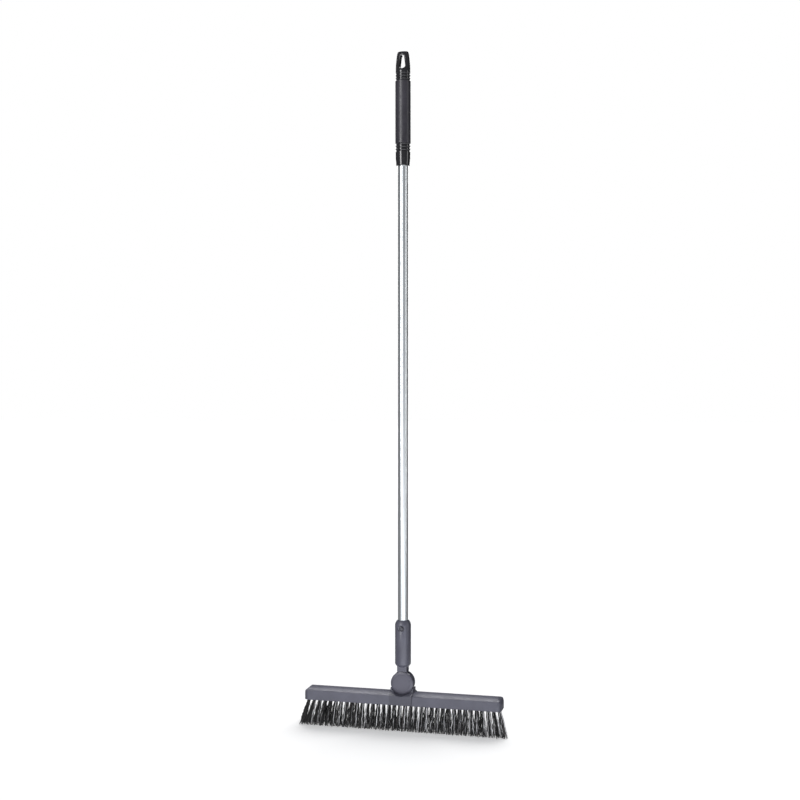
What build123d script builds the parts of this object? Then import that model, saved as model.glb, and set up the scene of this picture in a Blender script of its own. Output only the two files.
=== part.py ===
from build123d import *
import os

# Floor broom with a swivelling head: a long brush head, a knuckle that turns about a
# front-to-back bolt, a push-button socket, a straight tube and a hand grip.
# Millimetres. X runs along the brush head, -Y is the front, +Z is up. The origin is on
# the floor, under the axis of the tube.

# brush head
HEAD_LENGTH = 382.0
HEAD_DEPTH = 42.0
HEAD_BOTTOM_Z = 48.0  # also the free length of the bristles
HEAD_SIDE_TOP_Z = 65.2  # where the flat front and back faces end
HEAD_CROWN_Z = 70.5
HEAD_PLAN_RADIUS = 9.0
HEAD_END_RADIUS = 12.5
CHANNEL_WIDTH = 38.0  # cross channel that takes the foot of the knuckle
CHANNEL_FLOOR_Z = 62.0

# tufts: four rows, each a quarter of the pitch on from the row in front
TUFTS_PER_ROW = 36
TUFT_PITCH = 10.45
ROW_YS = {"front": -15.3, "inner_front": -5.1, "inner_rear": 5.1, "rear": 15.3}
ROW_STAGGER = TUFT_PITCH / 4
TUFT_RADIUS = 2.25
TUFT_HOLE_RADIUS = 2.3
TUFT_HOLE_DEPTH = 12.0
TUFT_ROOT_DEPTH = 10.8
TUFT_MERGE_Z = 24.0  # below this height neighbouring tufts touch
ROW_TIP_SPREAD = 1.2  # a row stands this many times further out at its tips
ROW_TIP_HALF_DEPTH = 5.9
END_FLARE = 15.0  # how far the last tuft's tip stands outside its root
STAPLE_SIZE = (4.2, 0.9, 1.1)

# screws from the head into the knuckle
SCREW_XS = (-10.45, 10.45)
SCREW_RADIUS = 1.75
SCREW_HEAD_RADIUS = 2.8
SCREW_HEAD_HEIGHT = 2.2
SCREW_RECESS_RADIUS = 3.0
SCREW_SEAT_Z = 52.4
SCREW_TOP_Z = 73.0
SCREW_SLOT = (4.0, 0.8, 1.0)  # length, width and depth of each arm of the cross slot

# knuckle, which turns about Y
PIVOT_Z = 87.4
SADDLE_SKIN = 2.3  # thickness over the outside of the head
SADDLE_HALF_WIDTH = 22.0
SADDLE_BOTTOM_Z = 48.6
SADDLE_TOP_Z = 78.5
SADDLE_TOP_HALF_DEPTH = 11.2
SADDLE_SIDE_BULGE = (1.8, 0.4)  # how far the sides draw in at the bottom and at the top
WEB_DEPTH = 8.0  # how far the web under the tongue runs down into the saddle
POCKET_RADIUS = 22.3  # room for the round cheeks and caps
TONGUE_RADIUS = 20.0
TONGUE_HALF = 3.0
RING_INNER_RADIUS = 6.0
RING_OUTER_RADIUS = 17.0
RING_THICKNESS = 0.8
CHEEK_INNER = 3.85
CHEEK_OUTER = 8.1
CHEEK_RADIUS = 20.8
CHEEK_SEAT = 5.4  # floor of the round recess for the bolt head or the nut
CHEEK_RECESS_RADIUS = 6.0
CAP_INNER = 8.15
CAP_RIM = 9.4
CAP_OUTER = 10.9
CAP_RADIUS = 21.5
CAP_FACE_RADIUS = 17.0
CAP_PANEL_RADIUS = 15.6
CAP_PANEL_DEPTH = 0.5
CAP_SKIRT_OUTER = 14.2
CAP_SKIRT_INNER = 12.8
CAP_SKIRT_END = 6.6
BOLT_RADIUS = 2.5
BUSH_RADIUS = 4.0
RUNNING_CLEARANCE = 0.05
WASHER_RADIUS = 5.2
WASHER_THICKNESS = 0.8
SPRING_WASHER_THICKNESS = 0.6
BOLT_HEAD_ACROSS_FLATS = 8.0
BOLT_HEAD_HEIGHT = 2.8
NUT_HEIGHT = 2.7
BOLT_TIP = 9.6

# socket with its fork
NECK_HALF_WIDTH = 9.3
NECK_HALF_DEPTH = 10.6
NECK_BOTTOM_Z = 109.6  # just over the caps, above which the neck is as deep as they are
NECK_ROUND = 1.5
FORK_CROTCH_Z = 117.0
NECK_TOP_Z = 124.0
SOCKET_RADIUS = 15.1
SOCKET_BORE_RADIUS = 9.55
SOCKET_BOTTOM_Z = 118.0
SOCKET_FLOOR_Z = 131.0
SOCKET_TOP_Z = 206.0

# push button in the socket
BUTTON_Z = 191.5
BUTTON_RADIUS = 4.0
BUTTON_TIP = 15.6
BUTTON_FLANGE_RADIUS = 5.0
BUTTON_FLANGE_FRONT = 6.75
BUTTON_FLANGE_BACK = 5.3
BUTTON_HOLE_RADIUS = 4.08
FINGER_POCKET = (15.0, 10.3)
FINGER_POCKET_FLOOR = 12.0
GUIDE_RADIUS = 8.45
GUIDE_BOTTOM_Z = 133.0
GUIDE_TOP_Z = 205.0
GUIDE_BORE_RADIUS = 5.06
GUIDE_BORE_END = -5.0
GUIDE_CORE_RADIUS = 5.5
GUIDE_CORE_TOP_Z = 178.0
SPRING_RADIUS = 3.3
SPRING_WIRE_RADIUS = 0.35
SPRING_TURNS = 5

# tube and grip
TUBE_RADIUS = 9.5
TUBE_WALL = 1.0
TUBE_BOTTOM_Z = 131.5
TUBE_TOP_Z = 1236.0
GRIP_BOTTOM_Z = 1066.4
GRIP_CORE_RADIUS = 14.2
GRIP_COLLAR_RADIUS = 14.05
GRIP_UNDER_SLEEVE_RADIUS = 12.0
SLEEVE_RADIUS = 14.6
SLEEVE_BOTTOM_Z = 1108.9
SLEEVE_TOP_Z = 1227.9
SLEEVE_ROUND = 0.9
GROOVE_ZS = (1095.1, 1100.9, 1106.9, 1229.9, 1235.2, 1240.9)
GROOVE_DEPTH = 1.3
GROOVE_ROUND = 2.0
LOOP_BOTTOM_Z = 1245.0
LOOP_TOP_Z = 1284.0
# half width, half depth and height of the hang loop's sections
LOOP_SECTIONS = (
    (14.2, 14.2, LOOP_BOTTOM_Z),
    (14.1, 11.6, 1252.0),
    (13.9, 9.0, 1258.0),
    (13.2, 7.4, 1266.0),
    (12.4, 6.6, 1273.5),
    (11.4, 6.0, 1279.5),
    (9.4, 4.6, LOOP_TOP_Z),
)
LOOP_TOP_ROUND = 2.0
HANG_SLOT_LOW = (5.7, 1255.5)  # radius and height of the slot's round lower end
HANG_SLOT_HIGH = (3.1, 1273.8)
HANG_SLOT_ROUND = 1.6

front_of_pivot = Pos(0, 0, PIVOT_Z) * Rot(90, 0, 0)  # local Z runs to the front
rear_of_pivot = Pos(0, 0, PIVOT_Z) * Rot(-90, 0, 0)  # local Z runs to the rear
front_of_button = Pos(0, 0, BUTTON_Z) * Rot(90, 0, 0)


def disc(radius, low, high):
    """Round solid about Z from low to high."""
    return Pos(0, 0, low) * Cylinder(radius, high - low, align=(Align.CENTER, Align.CENTER, Align.MIN))


def ring(outer, inner, low, high):
    return disc(outer, low, high) - disc(inner, low, high)


def block(xs, ys, zs):
    """Box between pairs of X, Y and Z values."""
    size = [pair[1] - pair[0] for pair in (xs, ys, zs)]
    return Pos(xs[0], ys[0], zs[0]) * Box(*size, align=(Align.MIN, Align.MIN, Align.MIN))


def turned(points):
    """Solid of revolution about Z from radius and height points."""
    return revolve(Plane.XZ * make_face(Polyline(*points, close=True)), Axis.Z)


def head_section(offset, bottom):
    """Face in Y and Z: flat sides under an arched crown, grown outwards by offset."""
    half = HEAD_DEPTH / 2
    rise = HEAD_CROWN_Z - HEAD_SIDE_TOP_Z
    arc_radius = (half**2 + rise**2) / (2 * rise)
    grown = arc_radius + offset
    centre_z = HEAD_CROWN_Z - arc_radius
    shoulder_z = centre_z + (grown**2 - (half + offset) ** 2) ** 0.5
    low = half + offset
    lines = Polyline((low, shoulder_z), (low, bottom), (-low, bottom), (-low, shoulder_z))
    crown = ThreePointArc((-low, shoulder_z), (0, centre_z + grown), (low, shoulder_z))
    return make_face(lines + crown)


def head_outline():
    """Head without holes: arched section, round corners in plan and at the top of each end."""
    half = HEAD_LENGTH / 2
    section = extrude(Plane.YZ * head_section(0, HEAD_BOTTOM_Z), half, both=True)
    plan = RectangleRounded(HEAD_LENGTH, HEAD_DEPTH, HEAD_PLAN_RADIUS)
    plan_prism = Pos(0, 0, HEAD_BOTTOM_Z) * extrude(plan, HEAD_CROWN_Z - HEAD_BOTTOM_Z)
    side = RectangleRounded(HEAD_LENGTH, 2 * (HEAD_CROWN_Z - HEAD_BOTTOM_Z), HEAD_END_RADIUS)
    side_prism = Pos(0, 0, HEAD_BOTTOM_Z) * extrude(Plane.XZ * side, HEAD_DEPTH, both=True)
    channel = block(
        (-CHANNEL_WIDTH / 2, CHANNEL_WIDTH / 2),
        (-HEAD_DEPTH, HEAD_DEPTH),
        (CHANNEL_FLOOR_Z, HEAD_CROWN_Z + 1),
    )
    return (section & plan_prism & side_prism) - channel


def tuft_roots(row):
    """X of each tuft of a row where it leaves the head."""
    shift = ROW_STAGGER * (1.5 - list(ROW_YS).index(row))
    middle = (TUFTS_PER_ROW - 1) / 2
    return [(i - middle) * TUFT_PITCH + shift for i in range(TUFTS_PER_ROW)]


def tuft_flare(x):
    """How far the tip of a tuft rooted at x stands outside its root."""
    return END_FLARE * (x / (HEAD_LENGTH / 2)) ** 3


def all_roots():
    return [(x, y) for row, y in ROW_YS.items() for x in tuft_roots(row)]


def head_block():
    hole = disc(TUFT_HOLE_RADIUS, HEAD_BOTTOM_Z, HEAD_BOTTOM_Z + TUFT_HOLE_DEPTH)
    holes = [Pos(x, y, 0) * hole for x, y in all_roots()]
    recess = disc(SCREW_RECESS_RADIUS, HEAD_BOTTOM_Z, SCREW_SEAT_Z)
    through = disc(SCREW_RADIUS + RUNNING_CLEARANCE, HEAD_BOTTOM_Z, CHANNEL_FLOOR_Z)
    holes += [Pos(x, 0, 0) * (recess + through) for x in SCREW_XS]
    return head_outline() - holes


def bristle_row(row):
    """One row as a comb: round roots, narrow tufts, and a skirt where the tufts merge."""
    y = ROW_YS[row]
    roots = tuft_roots(row)
    merge_share = 1 - TUFT_MERGE_Z / HEAD_BOTTOM_Z
    merged = [x + tuft_flare(x) * merge_share for x in roots]
    outline = []
    for i, x in enumerate(roots):
        outline += [(x - TUFT_RADIUS, HEAD_BOTTOM_Z), (x + TUFT_RADIUS, HEAD_BOTTOM_Z)]
        if i + 1 < len(roots):
            outline.append(((merged[i] + merged[i + 1]) / 2, TUFT_MERGE_Z))
    for x, side in ((roots[-1], 1), (roots[0], -1)):
        outline.append((x + tuft_flare(x) + side * TUFT_PITCH / 2, 0))
    comb = extrude(Plane.XZ * make_face(Polyline(*outline, close=True)), HEAD_DEPTH, both=True)

    tip_y = y * ROW_TIP_SPREAD
    depth = Polyline(
        (y - TUFT_RADIUS, HEAD_BOTTOM_Z),
        (y + TUFT_RADIUS, HEAD_BOTTOM_Z),
        (tip_y + ROW_TIP_HALF_DEPTH, 0),
        (tip_y - ROW_TIP_HALF_DEPTH, 0),
        close=True,
    )
    wedge = extrude(Plane.YZ * make_face(depth), HEAD_LENGTH, both=True)
    root = disc(TUFT_RADIUS, HEAD_BOTTOM_Z, HEAD_BOTTOM_Z + TUFT_ROOT_DEPTH)
    return (comb & wedge) + [Pos(x, y, 0) * root for x in roots]


def tuft_staples():
    """Flat steel anchors, one above the folded end of each tuft."""
    length, thickness, height = STAPLE_SIZE
    top = HEAD_BOTTOM_Z + TUFT_HOLE_DEPTH
    staple = block((-length / 2, length / 2), (-thickness / 2, thickness / 2), (top - height, top))
    return Compound(children=[Pos(x, y, 0) * staple for x, y in all_roots()])


def base_screws():
    head_bottom = SCREW_SEAT_Z - SCREW_HEAD_HEIGHT
    head = disc(SCREW_HEAD_RADIUS, head_bottom, SCREW_SEAT_Z)
    shank = disc(SCREW_RADIUS, SCREW_SEAT_Z, SCREW_TOP_Z)
    length, width, depth = SCREW_SLOT
    slot = block((-length / 2, length / 2), (-width / 2, width / 2), (0, head_bottom + depth))
    screw = head + shank - slot - Rot(0, 0, 90) * slot
    return Compound(children=[Pos(x, 0, 0) * screw for x in SCREW_XS])


def saddle():
    """Outer form of the knuckle's foot: wraps the head, with sides that bulge a little."""
    half = SADDLE_HALF_WIDTH
    wrap = extrude(Plane.YZ * head_section(SADDLE_SKIN, SADDLE_BOTTOM_Z), half, both=True)
    top_half = SADDLE_TOP_HALF_DEPTH
    top = block((-half, half), (-top_half, top_half), (SADDLE_BOTTOM_Z, SADDLE_TOP_Z))
    low, high = (half - bulge for bulge in SADDLE_SIDE_BULGE)
    middle_z = (SADDLE_BOTTOM_Z + SADDLE_TOP_Z) / 2
    right = ThreePointArc((low, SADDLE_BOTTOM_Z), (half, middle_z), (high, SADDLE_TOP_Z))
    left = ThreePointArc((-high, SADDLE_TOP_Z), (-half, middle_z), (-low, SADDLE_BOTTOM_Z))
    across = Line((high, SADDLE_TOP_Z), (-high, SADDLE_TOP_Z))
    under = Line((-low, SADDLE_BOTTOM_Z), (low, SADDLE_BOTTOM_Z))
    face = extrude(Plane.XZ * make_face([right, across, left, under]), HEAD_DEPTH, both=True)
    return (wrap + top) & face


def knuckle_base():
    pocket = disc(POCKET_RADIUS, TONGUE_HALF, HEAD_DEPTH)
    pockets = front_of_pivot * pocket + rear_of_pivot * pocket
    tongue = front_of_pivot * disc(TONGUE_RADIUS, -TONGUE_HALF, TONGUE_HALF)
    web_zs = (SADDLE_TOP_Z - WEB_DEPTH, PIVOT_Z)
    web = block((-TONGUE_RADIUS, TONGUE_RADIUS), (-TONGUE_HALF, TONGUE_HALF), web_zs)
    whole = (saddle() - pockets) + tongue + web - head_outline()
    bush_hole = front_of_pivot * disc(BUSH_RADIUS, -TONGUE_HALF, TONGUE_HALF)
    pilots = [Pos(x, 0, 0) * disc(SCREW_RADIUS, CHANNEL_FLOOR_Z, SCREW_TOP_Z) for x in SCREW_XS]
    return whole - bush_hole - pilots


def pivot_bush():
    bore = BOLT_RADIUS + RUNNING_CLEARANCE
    return front_of_pivot * ring(BUSH_RADIUS, bore, -TONGUE_HALF, TONGUE_HALF)


def friction_ring(side):
    low, high = TONGUE_HALF, TONGUE_HALF + RING_THICKNESS
    return side * ring(RING_OUTER_RADIUS, RING_INNER_RADIUS, low, high)


def fork():
    """Neck and two round cheeks with a gap for the tongue."""
    width = (-NECK_HALF_WIDTH, NECK_HALF_WIDTH)
    neck = block(width, (-NECK_HALF_DEPTH, NECK_HALF_DEPTH), (NECK_BOTTOM_Z, NECK_TOP_Z))
    neck = fillet(neck.edges().filter_by(Axis.Z), NECK_ROUND)
    stem = block(width, (-CHEEK_OUTER, CHEEK_OUTER), (PIVOT_Z, NECK_BOTTOM_Z))
    whole = neck + stem + front_of_pivot * disc(CHEEK_RADIUS, -CHEEK_OUTER, CHEEK_OUTER)
    reach = CHEEK_RADIUS + 1
    gap = block((-reach, reach), (-CHEEK_INNER, CHEEK_INNER), (PIVOT_Z - reach, FORK_CROTCH_Z))
    bolt_hole = front_of_pivot * disc(BOLT_RADIUS, -CHEEK_OUTER, CHEEK_OUTER)
    recess = disc(CHEEK_RECESS_RADIUS, CHEEK_SEAT, CHEEK_OUTER)
    groove = ring(CAP_SKIRT_OUTER + 0.1, CAP_SKIRT_INNER - 0.1, CAP_SKIRT_END - 0.1, CHEEK_OUTER)
    cuts = [side * (recess + groove) for side in (front_of_pivot, rear_of_pivot)]
    return whole - gap - bolt_hole - cuts


def handle_socket():
    body = turned(
        [
            (0, SOCKET_BOTTOM_Z),
            (11.5, SOCKET_BOTTOM_Z),
            (14.6, SOCKET_BOTTOM_Z + 4.0),
            (SOCKET_RADIUS, SOCKET_BOTTOM_Z + 5.4),
            (SOCKET_RADIUS, SOCKET_TOP_Z - 8.6),
            (14.5, SOCKET_TOP_Z - 6.0),
            (13.4, SOCKET_TOP_Z - 3.6),
            (11.9, SOCKET_TOP_Z - 1.4),
            (10.9, SOCKET_TOP_Z),
            (0, SOCKET_TOP_Z),
        ]
    )
    bore = disc(SOCKET_BORE_RADIUS, SOCKET_FLOOR_Z, SOCKET_TOP_Z)
    pocket = extrude(SlotOverall(*FINGER_POCKET), SOCKET_RADIUS)
    pocket = front_of_button * Pos(0, 0, FINGER_POCKET_FLOOR) * pocket
    button_hole = front_of_button * disc(BUTTON_HOLE_RADIUS, 0, SOCKET_RADIUS)
    return body + fork() - bore - pocket - button_hole


def cap(side):
    """Round cap over the bolt head or the nut: chamfered rim, shallow panel, locating skirt."""
    body = turned(
        [
            (0, CAP_INNER),
            (CAP_RADIUS, CAP_INNER),
            (CAP_RADIUS, CAP_RIM),
            (CAP_FACE_RADIUS + 1.6, CAP_OUTER - 0.25),
            (CAP_FACE_RADIUS, CAP_OUTER),
            (CAP_PANEL_RADIUS + 0.5, CAP_OUTER),
            (CAP_PANEL_RADIUS, CAP_OUTER - CAP_PANEL_DEPTH),
            (0, CAP_OUTER - CAP_PANEL_DEPTH),
        ]
    )
    skirt = ring(CAP_SKIRT_OUTER, CAP_SKIRT_INNER, CAP_SKIRT_END, CAP_INNER)
    hollow = disc(CHEEK_RECESS_RADIUS, CAP_INNER, BOLT_TIP + 0.2)
    return side * (body + skirt - hollow)


def hexagon(across_flats, low, high):
    radius = across_flats / 3**0.5
    return Pos(0, 0, low) * extrude(RegularPolygon(radius, 6), high - low)


def pivot_bolt():
    """Front head and a shank that runs to the rear."""
    seat = CHEEK_SEAT + WASHER_THICKNESS
    head = hexagon(BOLT_HEAD_ACROSS_FLATS, seat, seat + BOLT_HEAD_HEIGHT)
    return front_of_pivot * (head + disc(BOLT_RADIUS, -BOLT_TIP, seat))


def pivot_washers():
    front = ring(WASHER_RADIUS, BOLT_RADIUS, CHEEK_SEAT, CHEEK_SEAT + WASHER_THICKNESS)
    start = CHEEK_SEAT + SPRING_WASHER_THICKNESS
    rear = ring(WASHER_RADIUS, BOLT_RADIUS, start, start + WASHER_THICKNESS)
    return Compound(children=[front_of_pivot * front, rear_of_pivot * rear])


def spring_washer():
    end = CHEEK_SEAT + SPRING_WASHER_THICKNESS
    return rear_of_pivot * ring(WASHER_RADIUS - 0.4, BOLT_RADIUS, CHEEK_SEAT, end)


def pivot_nut():
    start = CHEEK_SEAT + SPRING_WASHER_THICKNESS + WASHER_THICKNESS
    body = hexagon(BOLT_HEAD_ACROSS_FLATS, start, start + NUT_HEIGHT)
    return rear_of_pivot * (body - disc(BOLT_RADIUS, start, start + NUT_HEIGHT))


def snap_button():
    """Domed pin with a flange behind the tube wall."""
    stem = disc(BUTTON_RADIUS, BUTTON_FLANGE_BACK, BUTTON_TIP)
    stem = fillet(stem.edges().sort_by(Axis.Z)[-1], 2.2)
    flange = disc(BUTTON_FLANGE_RADIUS, BUTTON_FLANGE_BACK, BUTTON_FLANGE_FRONT)
    return front_of_button * (stem + flange)


def button_guide():
    """Plug in the lower end of the tube, with a cross bore for the button and its spring."""
    body = disc(GUIDE_RADIUS, GUIDE_BOTTOM_Z, GUIDE_TOP_Z)
    core = disc(GUIDE_CORE_RADIUS, GUIDE_BOTTOM_Z, GUIDE_CORE_TOP_Z)
    bore = front_of_button * disc(GUIDE_BORE_RADIUS, GUIDE_BORE_END, GUIDE_RADIUS + 1)
    return body - core - bore


def button_spring():
    """Coil spring between the guide and the back of the button's flange."""
    low = GUIDE_BORE_END + SPRING_WIRE_RADIUS + 0.05
    high = BUTTON_FLANGE_BACK - SPRING_WIRE_RADIUS - 0.05
    helix = Helix(pitch=(high - low) / SPRING_TURNS, height=high - low, radius=SPRING_RADIUS)
    start = Plane(origin=helix @ 0, z_dir=helix % 0)
    coil = sweep(start * Circle(SPRING_WIRE_RADIUS), path=helix)
    return front_of_button * Pos(0, 0, low) * coil


def handle_tube():
    body = ring(TUBE_RADIUS, TUBE_RADIUS - TUBE_WALL, TUBE_BOTTOM_Z, TUBE_TOP_Z)
    return body - front_of_button * disc(BUTTON_HOLE_RADIUS, 0, TUBE_RADIUS + 1)


def hang_slot():
    """Teardrop through the loop from front to back, wide at the bottom."""
    low_radius, low_z = HANG_SLOT_LOW
    high_radius, high_z = HANG_SLOT_HIGH
    outline = make_hull(
        (Pos(0, low_z) * Circle(low_radius)).edges() + (Pos(0, high_z) * Circle(high_radius)).edges()
    )
    return extrude(Plane.XZ * outline, GRIP_CORE_RADIUS + 2, both=True)


def grip_core():
    """Hard core of the grip: collar, ribs, a waist under the sleeve, and the hang loop."""
    under = GRIP_UNDER_SLEEVE_RADIUS
    body = turned(
        [
            (0, GRIP_BOTTOM_Z),
            (12.2, GRIP_BOTTOM_Z),
            (12.9, GRIP_BOTTOM_Z + 1.2),
            (13.4, GRIP_BOTTOM_Z + 9.0),
            (GRIP_COLLAR_RADIUS, GRIP_BOTTOM_Z + 14.5),
            (GRIP_CORE_RADIUS, GRIP_BOTTOM_Z + 24.0),
            (GRIP_CORE_RADIUS, SLEEVE_BOTTOM_Z),
            (under, SLEEVE_BOTTOM_Z),
            (under, SLEEVE_TOP_Z),
            (GRIP_CORE_RADIUS, SLEEVE_TOP_Z),
            (GRIP_CORE_RADIUS, LOOP_BOTTOM_Z),
            (0, LOOP_BOTTOM_Z),
        ]
    )
    grooves = Torus(GRIP_CORE_RADIUS - GROOVE_DEPTH + GROOVE_ROUND, GROOVE_ROUND)
    body -= [Pos(0, 0, z) * grooves for z in GROOVE_ZS]
    loop = loft([Pos(0, 0, z) * Ellipse(a, b) for a, b, z in LOOP_SECTIONS])
    whole = body + loop - disc(TUBE_RADIUS, GRIP_BOTTOM_Z, TUBE_TOP_Z) - hang_slot()
    off_middle = [e for e in whole.edges() if abs(e.center().Y) > 1]
    mouths = [e for e in off_middle if e.bounding_box().min.Z > LOOP_BOTTOM_Z + 1]
    whole = fillet(mouths, HANG_SLOT_ROUND)
    top_rim = [e for e in whole.edges() if e.bounding_box().min.Z > LOOP_TOP_Z - 0.1]
    return fillet(top_rim, LOOP_TOP_ROUND)


def grip_sleeve():
    body = ring(SLEEVE_RADIUS, GRIP_UNDER_SLEEVE_RADIUS, SLEEVE_BOTTOM_Z, SLEEVE_TOP_Z)
    outer = body.edges().filter_by(GeomType.CIRCLE).filter_by(lambda e: e.radius > GRIP_CORE_RADIUS)
    return fillet(outer, SLEEVE_ROUND)


def build():
    nodes = {
        "head_block": head_block(),
        "tuft_staples": tuft_staples(),
        "base_screws": base_screws(),
        "knuckle_base": knuckle_base(),
        "pivot_bush": pivot_bush(),
        "friction_ring_front": friction_ring(front_of_pivot),
        "friction_ring_rear": friction_ring(rear_of_pivot),
        "handle_socket": handle_socket(),
        "front_cap": cap(front_of_pivot),
        "rear_cap": cap(rear_of_pivot),
        "pivot_bolt": pivot_bolt(),
        "pivot_washers": pivot_washers(),
        "spring_washer": spring_washer(),
        "pivot_nut": pivot_nut(),
        "snap_button": snap_button(),
        "button_guide": button_guide(),
        "button_spring": button_spring(),
        "handle_tube": handle_tube(),
        "grip_core": grip_core(),
        "grip_sleeve": grip_sleeve(),
    }
    for row in ROW_YS:
        nodes[f"bristle_row_{row}"] = bristle_row(row)
    return nodes


os.makedirs("parts", exist_ok=True)
for name, shape in build().items():
    export_step(shape, f"parts/{name}.step")
    print(name, round(shape.volume))
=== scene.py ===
"""Floor broom with a swivelling head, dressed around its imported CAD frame. Metres, Z up."""

import math

import bpy
import numpy as np
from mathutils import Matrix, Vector


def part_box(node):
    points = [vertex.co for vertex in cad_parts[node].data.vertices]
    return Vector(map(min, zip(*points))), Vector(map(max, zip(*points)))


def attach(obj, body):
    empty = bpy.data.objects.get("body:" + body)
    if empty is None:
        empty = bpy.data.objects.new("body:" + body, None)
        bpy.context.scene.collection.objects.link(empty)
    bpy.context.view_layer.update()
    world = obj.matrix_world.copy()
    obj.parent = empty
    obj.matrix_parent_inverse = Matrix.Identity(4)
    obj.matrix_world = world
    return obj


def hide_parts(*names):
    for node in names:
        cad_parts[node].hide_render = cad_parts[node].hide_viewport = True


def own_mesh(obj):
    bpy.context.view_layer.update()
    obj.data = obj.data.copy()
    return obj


MM = 0.001

# camera, level and near the middle of the broom's height, turned to the right of its front
CAMERA_YAW = math.radians(14.0)
CAMERA_DISTANCE = 2.16
CAMERA_HEIGHT = 0.623
CAMERA_SIDESTEP = -0.0057
CAMERA_LENS_MM = 51.2
SENSOR_MM = 36.0

# materials: most noise lies between these two values
NOISE_LOW = 0.3
NOISE_HIGH = 0.7
NOISE_ROUGHNESS = 0.55

# moulded edges: width of the rounding on each CAD node
ROUNDINGS = {
    "head_block": 0.9 * MM,
    "knuckle_base": 0.8 * MM,
    "front_cap": 0.4 * MM,
    "rear_cap": 0.4 * MM,
    "handle_socket": 0.5 * MM,
}
ROUNDING_SEGMENTS = 3
ROUNDING_ANGLE = math.radians(28)  # edges that turn by more than this are rounded
WELD_DISTANCE = 0.01 * MM

# bristle tufts
ROWS = ("front", "inner_front", "inner_rear", "rear")
TUFTS_PER_ROW = 36
TUFT_PITCH = 10.45 * MM
TUFT_RADIUS = 1.95 * MM
ROW_STAGGER = TUFT_PITCH / 4
ROW_TIP_SPREAD = 1.2  # distance of a row from the middle at its tips, over that at its roots
END_FLARE = 15.0 * MM  # how far the endmost tips lean outwards
TIP_LEAN = -3.5 * MM  # how far all tips lean to the left
BRISTLE_SEED = 20

# clumps of a tuft, with waves as ranges of height and of turns from root to tip
CLUMPS_PER_TUFT = 12
CLUMP_ROOT_FILL = 0.9  # share of the tuft's radius that the roots fill
CLUMP_REACH_JITTER = 0.07
CLUMP_TIP_REACH = 5.8 * MM
CLUMP_TIP_JITTER = 1.1 * MM
CLUMP_EASE = 0.72  # below 1, so a clump spreads fastest near its root
CLUMP_WAVE = (0.3 * MM, 0.85 * MM)
CLUMP_TURNS = (2.0, 3.8)
CLUMP_HEADING_JITTER = 0.6
CLUMP_BOW = 0.7 * MM
CRIMP_ONSET = 3  # waves grow from nothing at the root to full at 1 / 3 of the length
TIP_MARGIN = 1.3 * MM  # how far tips may pass the front and rear rows' boxes

# strands of a clump
STRANDS_PER_CLUMP = 6
STRAND_POINTS = 12
STRAND_SIDES = 3
STRAND_RADIUS = 0.24 * MM
STRAND_RADIUS_RANGE = (0.8, 1.25)
STRAND_TAPER = 0.85
STRAND_ROOT_SINK = 2.0 * MM
STRAND_ROOT_JITTER = 0.3 * MM
STRAND_TIP_JITTER = 0.4 * MM
STRAND_TIP_EASE = 1.5
STRAND_CURL = (0.05 * MM, 0.3 * MM)
STRAND_TURNS = (2.5, 5.0)
RAGGED_TIPS = 0.25 * MM

# tones: shades of the five kinds of fibre, the share of each, and the painted contact shadow that
# darkens the tips
TONES = (0.06, 0.28, 0.5, 0.68, 0.95)
TONE_SHARES = (0.5, 0.18, 0.08, 0.07, 0.17)
TONE_DRIFT = 0.1  # how much paler the mix is at the right end than in the middle
TONE_JITTER = 0.09
# painted contact shadow at the cut tips: how much it darkens them, and the share of the length where
# it starts
TIP_PAINTED_SHADOW = 0.4
TIP_SHADOW_FROM = 0.78

# studio: angles in degrees as the object sees them, azimuths from the front, positive to the right
ROOM_TINT = (0.94, 0.96, 1.0, 1.0)
ROOM_FRONT = 0.4
ROOM_REAR = 0.02
PATCH_HEADING = (23.0, -22.0)  # azimuth and elevation of the bright patch of floor in front
PATCH_GLOW = 2.3
PATCH_HALF_ANGLES = (10.0, 56.0)  # full within the first, nothing beyond the second
PATCH_RISE = (-2.0, -11.0)  # elevations where the patch starts and where it is full
REAR_GLOW = 0.9  # weaker glow from the floor behind
REAR_REACH = (0.0, 0.5)  # rearward parts of the heading where it starts and where it is full
REAR_RISE = (-12.0, -24.0)
FLOOR_HALF = 30.0
FLOOR_WHITE = (0.86, 0.86, 0.86, 1)
FLOOR_ROUGH = (0.85, 0.95)
FLOOR_GLOW = 0.4

# rectangular lamps: heights of the middle and of the point on Z they face, then width and height
STRIP_LEFT = {
    "azimuth": -22.5,
    "distance": 2.2,
    "middle_z": 1.3,
    "aim_z": 1.3,
    "size": (0.75, 2.0),
    "radiance": 8.5,
}
PANEL_RIGHT = {
    "azimuth": 88.0,
    "distance": 2.2,
    "middle_z": 1.0,
    "aim_z": 1.0,
    "size": (0.6, 2.0),
    "radiance": 2.2,
}
PANEL_REAR = {
    "azimuth": 194.0,
    "distance": 2.2,
    "middle_z": 1.2,
    "aim_z": 1.2,
    "size": (1.4, 2.0),
    "radiance": 3.0,
}
PANEL_ABOVE = {
    "azimuth": 180.0,
    "distance": 0.36,
    "middle_z": 0.75,
    "aim_z": 0.0,
    "size": (1.2, 0.25),
    "radiance": 7.0,
}
SUN_ENERGY = 2.42
SUN_SPREAD = math.radians(60)
SUN_TILT = math.radians(-46)
HANDLE_SKIN = ("handle_tube", "grip_core", "grip_sleeve", "handle_socket", "snap_button")


def link(thing):
    """Puts an object into the scene."""
    bpy.context.scene.collection.objects.link(thing)


# ---------------------------------------------------------------- materials


def linear(*values):
    """sRGB values from 0 to 255 as a linear colour with alpha."""
    parts = [v / 255 for v in values]
    return [v / 12.92 if v <= 0.04045 else ((v + 0.055) / 1.055) ** 2.4 for v in parts] + [1.0]


def scaled(colour, factor):
    return [c * factor for c in colour[:3]] + [1.0]


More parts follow.
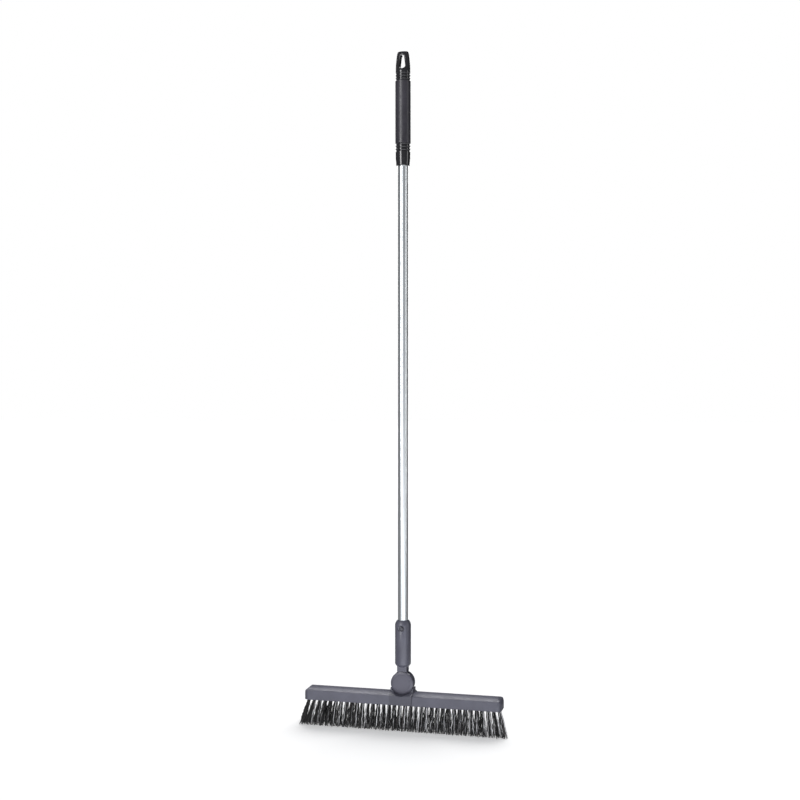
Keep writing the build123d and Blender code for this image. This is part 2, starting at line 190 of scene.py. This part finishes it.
def span(tree, source, start, end, low, high, smooth=False):
    """Output that runs from low to high as the source runs from start to end."""
    node = tree.nodes.new("ShaderNodeMapRange")
    if smooth:
        node.interpolation_type = "SMOOTHSTEP"
    limits = {"From Min": start, "From Max": end, "To Min": low, "To Max": high}
    for name, value in limits.items():
        node.inputs[name].default_value = value
    tree.links.new(source, node.inputs["Value"])
    return node.outputs["Result"]


class Nodes:
    """Short calls that build one material's node tree."""

    def __init__(self, name):
        self.material = bpy.data.materials.new(name)
        self.material.use_nodes = True
        self.tree = self.material.node_tree
        self.shader = self.tree.nodes["Principled BSDF"]
        self.place = self.new("ShaderNodeTexCoord").outputs["Object"]

    def new(self, kind, **values):
        node = self.tree.nodes.new(kind)
        for key, value in values.items():
            setattr(node, key, value)
        return node

    def join(self, source, target):
        self.tree.links.new(source, target)

    def stretched(self, scale):
        """The object's coordinates, scaled per axis."""
        mapping = self.new("ShaderNodeMapping")
        mapping.inputs["Scale"].default_value = scale
        self.join(self.place, mapping.inputs["Vector"])
        return mapping.outputs["Vector"]

    def noise(self, scale, detail=3.0, vector=None):
        node = self.new("ShaderNodeTexNoise")
        node.inputs["Scale"].default_value = scale
        node.inputs["Detail"].default_value = detail
        node.inputs["Roughness"].default_value = NOISE_ROUGHNESS
        self.join(vector or self.place, node.inputs["Vector"])
        return node.outputs["Fac"]

    def grain(self, scale):
        """Small rounded cells."""
        node = self.new("ShaderNodeTexVoronoi")
        node.inputs["Scale"].default_value = scale
        self.join(self.place, node.inputs["Vector"])
        return node.outputs["Distance"]

    def ramp(self, source, stops):
        node = self.new("ShaderNodeValToRGB")
        elements = node.color_ramp.elements
        while len(elements) < len(stops):
            elements.new(0.5)
        for element, (place, colour) in zip(elements, stops):
            element.position = place
            element.color = colour
        self.join(source, node.inputs["Fac"])
        return node.outputs["Color"]

    def clouded(self, colour, darkest, palest, scale, detail=3.0):
        """The colour in soft clouds between two factors of itself."""
        stops = [(NOISE_LOW, scaled(colour, darkest)), (NOISE_HIGH, scaled(colour, palest))]
        return self.ramp(self.noise(scale, detail), stops)

    def spread(self, source, low, high):
        """Noise, spread from low to high."""
        return span(self.tree, source, NOISE_LOW, NOISE_HIGH, low, high)

    def bump(self, source, strength, distance, under=None):
        node = self.new("ShaderNodeBump")
        node.inputs["Strength"].default_value = strength
        node.inputs["Distance"].default_value = distance
        self.join(source, node.inputs["Height"])
        if under:
            self.join(under, node.inputs["Normal"])
        return node.outputs["Normal"]

    def finish(self, colour, roughness, normal=None, **constants):
        """Joins what varies over the surface to the shader, and sets what doesn't on its sockets."""
        for key, value in constants.items():
            self.shader.inputs[key.replace("_", " ")].default_value = value
        varying = {"Base Color": colour, "Roughness": roughness, "Normal": normal}
        for target, source in varying.items():
            if source is not None:
                self.join(source, self.shader.inputs[target])
        return self.material


def moulded_plastic(name, colour, rough, grain=0.25):
    """Injection-moulded plastic: fine spark texture, faint cloudiness, slight handling wear."""
    n = Nodes(name)
    shade = n.clouded(colour, darkest=0.86, palest=1.14, scale=28.0, detail=4.0)
    wear = n.spread(n.noise(scale=90.0, detail=5.0), *rough)
    spark = n.bump(n.grain(scale=1500.0), strength=grain, distance=0.05 * MM)
    swell = n.noise(scale=45.0, detail=2.0)
    wave = n.bump(swell, strength=0.08, distance=0.25 * MM, under=spark)
    return n.finish(shade, wear, wave)


def gloss_plastic(name, colour, rough):
    """Polished moulding with faint flow marks and fine scuffs."""
    n = Nodes(name)
    shade = n.clouded(colour, darkest=0.8, palest=1.25, scale=35.0)
    scuffs = n.noise(scale=420.0, detail=6.0, vector=n.stretched((1.0, 1.0, 0.12)))
    wear = n.spread(scuffs, *rough)
    flow = n.bump(n.noise(scale=60.0, detail=2.0), strength=0.1, distance=0.3 * MM)
    return n.finish(shade, wear, flow, Coat_Weight=0.35, Coat_Roughness=0.08)


def soft_rubber(name, colour, rough):
    """Satin elastomer of the hand grip, with a fine leathery grain."""
    n = Nodes(name)
    shade = n.clouded(colour, darkest=0.85, palest=1.2, scale=30.0, detail=4.0)
    wear = n.spread(n.noise(scale=120.0, detail=5.0), *rough)
    leather = n.bump(n.grain(scale=1100.0), strength=0.18, distance=0.06 * MM)
    swell = n.noise(scale=70.0, detail=2.0)
    wave = n.bump(swell, strength=0.12, distance=0.25 * MM, under=leather)
    return n.finish(shade, wear, wave, Sheen_Weight=0.12, Sheen_Roughness=0.4)


def drawn_metal(name, colour, rough):
    """Metal with fine lines along Z, the length of the tube, and slight clouding."""
    n = Nodes(name)
    lines = n.noise(scale=2600.0, detail=1.5, vector=n.stretched((1.0, 1.0, 0.004)))
    shade = n.clouded(colour, darkest=0.95, palest=1.03, scale=22.0, detail=4.0)
    wear = n.spread(lines, *rough)
    normal = n.bump(lines, strength=0.06, distance=0.03 * MM)
    return n.finish(shade, wear, normal, Metallic=1.0)


def fibre(name, rough):
    """Bristle fibres: black, brown, grey or pale by their own shade, which carries painted contact
    shadow darkening the tip.
    """
    n = Nodes(name)
    shade = n.new("ShaderNodeAttribute", attribute_name="shade")
    stops = [
        (0.0, linear(7, 7, 8)),
        (0.4, linear(22, 21, 22)),
        (0.52, linear(62, 52, 50)),
        (0.68, linear(98, 97, 99)),
        (0.84, linear(178, 178, 181)),
        (1.0, linear(250, 250, 252)),
    ]
    colour = n.ramp(shade.outputs["Fac"], stops)
    streak = n.noise(scale=900.0, detail=3.0, vector=n.stretched((1.0, 1.0, 0.3)))
    wear = n.spread(streak, *rough)
    normal = n.bump(streak, strength=0.15, distance=0.04 * MM)
    return n.finish(colour, wear, normal, Sheen_Weight=0.1)


def dress(frame):
    """Puts each material on the CAD nodes that wear it. Roughness lies between its two values."""
    slate = linear(84, 84, 96)
    knuckle = linear(72, 72, 83)
    disc = linear(85, 84, 96)
    button = linear(60, 60, 69)
    nylon = linear(208, 206, 196)
    acetal = linear(220, 218, 210)
    brass = linear(205, 165, 90)
    aluminium = linear(222, 226, 228)
    zinc = linear(190, 193, 198)
    steel = linear(150, 150, 152)
    rings = ["friction_ring_front", "friction_ring_rear"]
    fasteners = ["pivot_bolt", "pivot_nut", "pivot_washers", "base_screws"]
    spring_parts = ["spring_washer", "button_spring", "tuft_staples"]
    wearers = (
        (moulded_plastic("head_moulding", slate, rough=(0.36, 0.5)), ["head_block"]),
        (moulded_plastic("knuckle_moulding", knuckle, rough=(0.36, 0.5)), ["knuckle_base"]),
        (
            moulded_plastic("socket_moulding", slate, rough=(0.3, 0.42), grain=0.15),
            ["handle_socket"],
        ),
        (moulded_plastic("cap_moulding", disc, rough=(0.36, 0.5)), ["front_cap", "rear_cap"]),
        (gloss_plastic("button_nylon", button, rough=(0.2, 0.3)), ["snap_button"]),
        (moulded_plastic("natural_nylon", nylon, rough=(0.35, 0.5)), ["button_guide"]),
        (moulded_plastic("acetal", acetal, rough=(0.3, 0.42)), rings),
        (drawn_metal("brass", brass, rough=(0.22, 0.36)), ["pivot_bush"]),
        (drawn_metal("aluminium", aluminium, rough=(0.25, 0.31)), ["handle_tube"]),
        (gloss_plastic("grip_gloss", linear(28, 27, 31), rough=(0.08, 0.15)), ["grip_core"]),
        (soft_rubber("grip_rubber", linear(45, 43, 50), rough=(0.3, 0.46)), ["grip_sleeve"]),
        (drawn_metal("zinc_plate", zinc, rough=(0.25, 0.4)), fasteners),
        (drawn_metal("spring_steel", steel, rough=(0.28, 0.42)), spring_parts),
    )
    for material, names in wearers:
        for name in names:
            slots = frame["nodes"][name].data.materials
            slots.clear()
            slots.append(material)


def soften(node, width):
    """Rounds the sharp moulded edges of a CAD node with modifiers."""
    weld = node.modifiers.new("weld", "WELD")
    weld.merge_threshold = WELD_DISTANCE
    bevel = node.modifiers.new("bevel", "BEVEL")
    bevel.width = width
    bevel.segments = ROUNDING_SEGMENTS
    bevel.limit_method = "ANGLE"
    bevel.angle_limit = ROUNDING_ANGLE
    bevel.harden_normals = True


# ---------------------------------------------------------------- bristles


def tuft_layout(row):
    """Roots and tips of a row's tufts as two arrays of X and Y, from the row's CAD box."""
    low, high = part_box(f"bristle_row_{row}")
    tip_y = (low.y + high.y) / 2
    head_low, head_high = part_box("head_block")
    index = np.arange(TUFTS_PER_ROW) - (TUFTS_PER_ROW - 1) / 2
    root_x = index * TUFT_PITCH + ROW_STAGGER * ((len(ROWS) - 1) / 2 - ROWS.index(row))
    flare = END_FLARE * (2 * root_x / (head_high.x - head_low.x)) ** 3
    tip_x = root_x + flare + TIP_LEAN
    roots = np.stack([root_x, np.full(TUFTS_PER_ROW, tip_y / ROW_TIP_SPREAD)], 1)
    return roots, np.stack([tip_x, np.full(TUFTS_PER_ROW, tip_y)], 1)


def sunflower(count, rng, turns):
    """Even spread of unit-disc points in steps of the golden angle, one set for each of turns."""
    k = np.arange(count) + 0.5
    angle = k * math.pi * (3 - 5**0.5) + turns[:, None]
    reach = np.sqrt(k / count) + rng.normal(0, CLUMP_REACH_JITTER, (len(turns), count))
    return np.stack([np.cos(angle), np.sin(angle)], -1) * reach[..., None]


def clump_lines(row, rng):
    """Centre lines of a row's clumps: array of clump, point and XYZ."""
    roots, tips = tuft_layout(row)
    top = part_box("head_block")[0].z + STRAND_ROOT_SINK
    shape = (TUFTS_PER_ROW, CLUMPS_PER_TUFT)
    spots = sunflower(CLUMPS_PER_TUFT, rng, rng.uniform(0, math.tau, TUFTS_PER_ROW))
    start = roots[:, None, :] + spots * TUFT_RADIUS * CLUMP_ROOT_FILL
    stray = rng.normal(0, CLUMP_TIP_JITTER, (*shape, 2))
    end = tips[:, None, :] + spots * CLUMP_TIP_REACH + stray
    low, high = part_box("bristle_row_front")[0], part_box("bristle_row_rear")[1]
    end[..., 1] = np.clip(end[..., 1], low.y - TIP_MARGIN, high.y + TIP_MARGIN)
    t = np.linspace(0, 1, STRAND_POINTS)
    ease = (t**CLUMP_EASE)[:, None]
    line = start[:, :, None, :] * (1 - ease) + end[:, :, None, :] * ease
    size = rng.uniform(*CLUMP_WAVE, shape)[..., None] * np.minimum(1, CRIMP_ONSET * t)
    turns = rng.uniform(*CLUMP_TURNS, shape)[..., None]
    phase = rng.uniform(0, math.tau, shape)[..., None]
    wave = size * np.sin(math.tau * turns * t + phase)
    heading = rng.normal(0, CLUMP_HEADING_JITTER, shape)[..., None]
    bow = np.sin(math.pi * t) * rng.normal(0, CLUMP_BOW, shape)[..., None]
    line[..., 0] += wave * np.cos(heading) + bow
    line[..., 1] += wave * np.sin(heading)
    z = np.broadcast_to(top * (1 - t), (*shape, STRAND_POINTS))[..., None]
    return np.concatenate([line, z], -1).reshape(-1, STRAND_POINTS, 3)


def clump_tones(clumps, rng):
    """Shade of each clump. Every tuft has nearly the same mix, a little paler to the right."""
    drift = TONE_DRIFT * clumps[:, 0, 0] / clumps[:, 0, 0].max()
    places = np.tile(np.arange(CLUMPS_PER_TUFT), (TUFTS_PER_ROW, 1))
    order = rng.permuted(places, axis=1).reshape(-1)
    pick = (order + rng.random(len(clumps))) / CLUMPS_PER_TUFT + drift
    return np.array(TONES)[np.searchsorted(np.cumsum(TONE_SHARES)[:-1], pick)]


def strand_lines(row, rng):
    """Centre lines of a row's strands and their shades: a few strands along each clump."""
    clumps = clump_lines(row, rng)
    shape = (len(clumps), STRANDS_PER_CLUMP)
    t = np.linspace(0, 1, STRAND_POINTS)
    near = rng.normal(0, STRAND_ROOT_JITTER, (*shape, 1, 2))
    far = rng.normal(0, STRAND_TIP_JITTER, (*shape, 1, 2))
    offset = near * (1 - t[:, None]) + far * t[:, None] ** STRAND_TIP_EASE
    turns = rng.uniform(*STRAND_TURNS, shape)[..., None]
    phase = rng.uniform(0, math.tau, shape)[..., None]
    curl = rng.uniform(*STRAND_CURL, shape)[..., None] * np.minimum(1, CRIMP_ONSET * t)
    lines = np.repeat(clumps[:, None], STRANDS_PER_CLUMP, 1)
    lines[..., :2] += offset
    lines[..., 0] += curl * np.sin(math.tau * turns * t + phase)
    ragged = rng.uniform(0, RAGGED_TIPS, shape)[..., None]
    lines[..., 2] += ragged * t
    tones = clump_tones(clumps, rng)
    shades = tones[:, None] + rng.normal(0, TONE_JITTER, shape)
    return lines.reshape(-1, STRAND_POINTS, 3), np.clip(shades.reshape(-1), 0, 1)


def strand_rings(lines, rng):
    """Corners of thin strands round the centre lines: array of strand, point, corner and XYZ."""
    count, points, _ = lines.shape
    along = np.gradient(lines, axis=1)
    along /= np.linalg.norm(along, axis=2, keepdims=True)
    side = np.cross(along, np.array([0.0, 1.0, 0.0]))
    side /= np.linalg.norm(side, axis=2, keepdims=True)
    other = np.cross(along, side)
    thickness = rng.uniform(*STRAND_RADIUS_RANGE, count)[:, None]
    radius = STRAND_RADIUS * thickness * np.linspace(1.0, STRAND_TAPER, points)
    spin = rng.uniform(0, math.tau, count)[:, None, None]
    corner = spin + math.tau * np.arange(STRAND_SIDES)[None, None, :] / STRAND_SIDES
    cosine, sine = np.cos(corner)[..., None], np.sin(corner)[..., None]
    ring = cosine * side[:, :, None, :] + sine * other[:, :, None, :]
    rings = lines[:, :, None, :] + radius[:, :, None, None] * ring
    rings[..., 2] = np.maximum(rings[..., 2], 0.0)
    return rings


def strand_faces(count, points):
    """Faces of that many strands, closed at both ends."""
    k = np.arange(STRAND_SIDES)
    after = (k + 1) % STRAND_SIDES
    level = np.arange(points - 1)[:, None] * STRAND_SIDES
    upper = level + STRAND_SIDES
    quad = np.stack([level + k, level + after, upper + after, upper + k], -1).reshape(-1, 4)
    base = (np.arange(count) * points * STRAND_SIDES)[:, None, None]
    quads = (quad[None] + base).reshape(-1, 4)
    start_cap = k[::-1][None] + base[:, 0]
    end_cap = (k + (points - 1) * STRAND_SIDES)[None] + base[:, 0]
    return [*quads.tolist(), *start_cap.tolist(), *end_cap.tolist()]


def strand_mesh(name, lines, shades, rng):
    """One mesh of thin strands along the centre lines, with each strand's shade on its points,
    darkened at the tip by painted contact shadow.
    """
    count, points, _ = lines.shape
    corners = strand_rings(lines, rng).reshape(-1, 3)
    mesh = bpy.data.meshes.new(name)
    mesh.from_pydata(corners, [], strand_faces(count, points))
    mesh.polygons.foreach_set("use_smooth", np.ones(len(mesh.polygons), bool))
    t = np.linspace(0, 1, points)
    # painted contact shadow: the shade darkens over the last part of each strand towards its tip
    painted_tip_shadow = 1 - TIP_PAINTED_SHADOW * np.clip((t - TIP_SHADOW_FROM) / (1 - TIP_SHADOW_FROM), 0, 1)
    layer = mesh.attributes.new("shade", "FLOAT", "POINT")
    values = np.repeat(shades[:, None] * painted_tip_shadow, STRAND_SIDES)
    layer.data.foreach_set("value", values.astype(np.float32))
    return mesh


def add_bristles():
    material = fibre("bristle_fibre", rough=(0.34, 0.6))
    for number, row in enumerate(ROWS):
        rng = np.random.default_rng(BRISTLE_SEED + number)
        lines, shades = strand_lines(row, rng)
        mesh = strand_mesh(f"bristles_{row}", lines, shades, rng)
        mesh.materials.append(material)
        piece = bpy.data.objects.new(f"bristles_{row}", mesh)
        link(piece)
        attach(piece, "head")
        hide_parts(f"bristle_row_{row}")


# ---------------------------------------------------------------- spring


def add_spring(frame):
    """Copy of the dressed coil spring on its own mesh, carried by the handle."""
    node = frame["nodes"]["button_spring"]
    piece = bpy.data.objects.new("button_coil", node.data.copy())
    link(piece)
    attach(piece, "handle")
    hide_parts("button_spring")
    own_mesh(piece)


# ---------------------------------------------------------------- stage


def combine(tree, operation, first, second):
    node = tree.nodes.new("ShaderNodeMath")
    node.operation = operation
    tree.links.new(first, node.inputs[0])
    tree.links.new(second, node.inputs[1])
    return node.outputs[0]


def bearing(azimuth, elevation):
    """Unit vector from the object towards an azimuth and elevation in degrees."""
    azimuth, elevation = math.radians(azimuth), math.radians(elevation)
    level = math.cos(elevation)
    return level * math.sin(azimuth), -level * math.cos(azimuth), math.sin(elevation)


def room_strength(tree):
    """Dim room, darkest behind the object, with one bright patch of floor in front and a weaker
    glow from the floor behind."""
    heading = tree.nodes.new("ShaderNodeTexCoord").outputs["Generated"]
    parts = tree.nodes.new("ShaderNodeSeparateXYZ")
    tree.links.new(heading, parts.inputs[0])
    rearward, upward = parts.outputs["Y"], parts.outputs["Z"]
    facing = tree.nodes.new("ShaderNodeVectorMath")
    facing.operation = "DOT_PRODUCT"
    facing.inputs[1].default_value = bearing(*PATCH_HEADING)
    tree.links.new(heading, facing.inputs[0])
    inner, outer = (math.cos(math.radians(angle)) for angle in PATCH_HALF_ANGLES)
    patch_rise = (math.sin(math.radians(angle)) for angle in PATCH_RISE)
    rear_rise = (math.sin(math.radians(angle)) for angle in REAR_RISE)
    room = span(tree, rearward, -1.0, 1.0, ROOM_FRONT, ROOM_REAR)
    patch = span(tree, facing.outputs["Value"], outer, inner, 0.0, PATCH_GLOW, smooth=True)
    patch = combine(tree, "MULTIPLY", patch, span(tree, upward, *patch_rise, 0.0, 1.0))
    rear = span(tree, rearward, *REAR_REACH, 0.0, REAR_GLOW)
    rear = combine(tree, "MULTIPLY", rear, span(tree, upward, *rear_rise, 0.0, 1.0))
    return combine(tree, "ADD", room, combine(tree, "ADD", patch, rear))


def set_world():
    """White for the camera, and the studio room for the light."""
    world = bpy.data.worlds.new("studio")
    bpy.context.scene.world = world
    world.use_nodes = True
    tree = world.node_tree
    tree.nodes.clear()
    room = tree.nodes.new("ShaderNodeBackground")
    room.inputs["Color"].default_value = ROOM_TINT
    white = tree.nodes.new("ShaderNodeBackground")
    white.inputs["Color"].default_value = (1, 1, 1, 1)
    path = tree.nodes.new("ShaderNodeLightPath")
    mix = tree.nodes.new("ShaderNodeMixShader")
    out = tree.nodes.new("ShaderNodeOutputWorld")
    tree.links.new(room_strength(tree), room.inputs["Strength"])
    tree.links.new(path.outputs["Is Camera Ray"], mix.inputs[0])
    tree.links.new(room.outputs[0], mix.inputs[1])
    tree.links.new(white.outputs[0], mix.inputs[2])
    tree.links.new(mix.outputs[0], out.inputs["Surface"])


def add_floor():
    """Pale floor that glows a little. It lights nothing else: the room's patch is its bounce."""
    half = FLOOR_HALF
    mesh = bpy.data.meshes.new("floor")
    corners = [(-half, -half, 0), (half, -half, 0), (half, half, 0), (-half, half, 0)]
    mesh.from_pydata(corners, [], [(0, 1, 2, 3)])
    n = Nodes("studio_floor")
    rough = n.spread(n.noise(scale=3.0), *FLOOR_ROUGH)
    n.finish(
        None,
        rough,
        Base_Color=FLOOR_WHITE,
        Emission_Color=(1, 1, 1, 1),
        Emission_Strength=FLOOR_GLOW,
    )
    mesh.materials.append(n.material)
    floor = bpy.data.objects.new("floor", mesh)
    floor.visible_diffuse = False
    floor.visible_glossy = False
    link(floor)
    return floor


def light_group(name, members, link_state):
    """Collection that makes a lamp light only its members (INCLUDE) or all but them (EXCLUDE)."""
    group = bpy.data.collections.new(name)
    for member in members:
        group.objects.link(member)
    for entry in group.collection_objects:
        entry.light_linking.link_state = link_state
    return group


def add_panel(name, receivers, azimuth, distance, middle_z, aim_z, size, radiance):
    """Rectangular lamp that lights its receivers only."""
    width, height = size
    light = bpy.data.lights.new(name, "AREA")
    light.shape = "RECTANGLE"
    light.size, light.size_y = size
    light.energy = radiance * math.pi * width * height
    angle = math.radians(azimuth)
    place = Vector((distance * math.sin(angle), -distance * math.cos(angle), middle_z))
    lamp = bpy.data.objects.new(name, light)
    lamp.location = place
    lamp.rotation_euler = (Vector((0, 0, aim_z)) - place).to_track_quat("-Z", "Y").to_euler()
    link(lamp)
    lamp.light_linking.receiver_collection = receivers


def add_lights(frame, floor):
    """Tall strip on the left and weak panel on the right for the object, a panel behind for the
    handle and one above the rear for the head, and a broad soft sun from above the rear for the
    floor alone."""
    handle = [frame["nodes"][name] for name in HANDLE_SKIN]
    object_only = light_group("object_only", [floor], "EXCLUDE")
    head_only = light_group("head_only", [floor, *handle], "EXCLUDE")
    handle_only = light_group("handle_only", handle, "INCLUDE")
    add_panel("strip_left", object_only, **STRIP_LEFT)
    add_panel("panel_right", object_only, **PANEL_RIGHT)
    add_panel("panel_rear", handle_only, **PANEL_REAR)
    add_panel("panel_above", head_only, **PANEL_ABOVE)
    light = bpy.data.lights.new("sun", "SUN")
    light.energy = SUN_ENERGY
    light.angle = SUN_SPREAD
    sun = bpy.data.objects.new("sun", light)
    sun.rotation_euler = (SUN_TILT, 0, 0)
    sun.light_linking.receiver_collection = light_group("floor_only", [floor], "INCLUDE")
    link(sun)


def add_camera():
    sin, cos = math.sin(CAMERA_YAW), math.cos(CAMERA_YAW)
    right = Vector((cos, sin, 0))
    data = bpy.data.cameras.new("camera")
    data.lens = CAMERA_LENS_MM
    data.sensor_width = SENSOR_MM
    camera = bpy.data.objects.new("camera", data)
    camera.location = Vector((sin, -cos, 0)) * CAMERA_DISTANCE + right * CAMERA_SIDESTEP
    camera.location.z = CAMERA_HEIGHT
    camera.rotation_euler = (math.pi / 2, 0, CAMERA_YAW)
    link(camera)
    bpy.context.scene.camera = camera


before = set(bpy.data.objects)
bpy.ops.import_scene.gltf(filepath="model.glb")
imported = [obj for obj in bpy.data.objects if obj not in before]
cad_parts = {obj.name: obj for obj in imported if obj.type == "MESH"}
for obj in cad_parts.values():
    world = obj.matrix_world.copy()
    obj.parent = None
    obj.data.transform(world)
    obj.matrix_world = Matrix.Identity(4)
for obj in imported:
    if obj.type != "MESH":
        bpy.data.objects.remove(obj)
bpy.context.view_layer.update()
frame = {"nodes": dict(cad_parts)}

bpy.context.scene.view_settings.view_transform = "Standard"
dress(frame)
for node_name, rounding in ROUNDINGS.items():
    soften(frame["nodes"][node_name], rounding)
add_bristles()
add_spring(frame)
set_world()
add_lights(frame, add_floor())
add_camera()
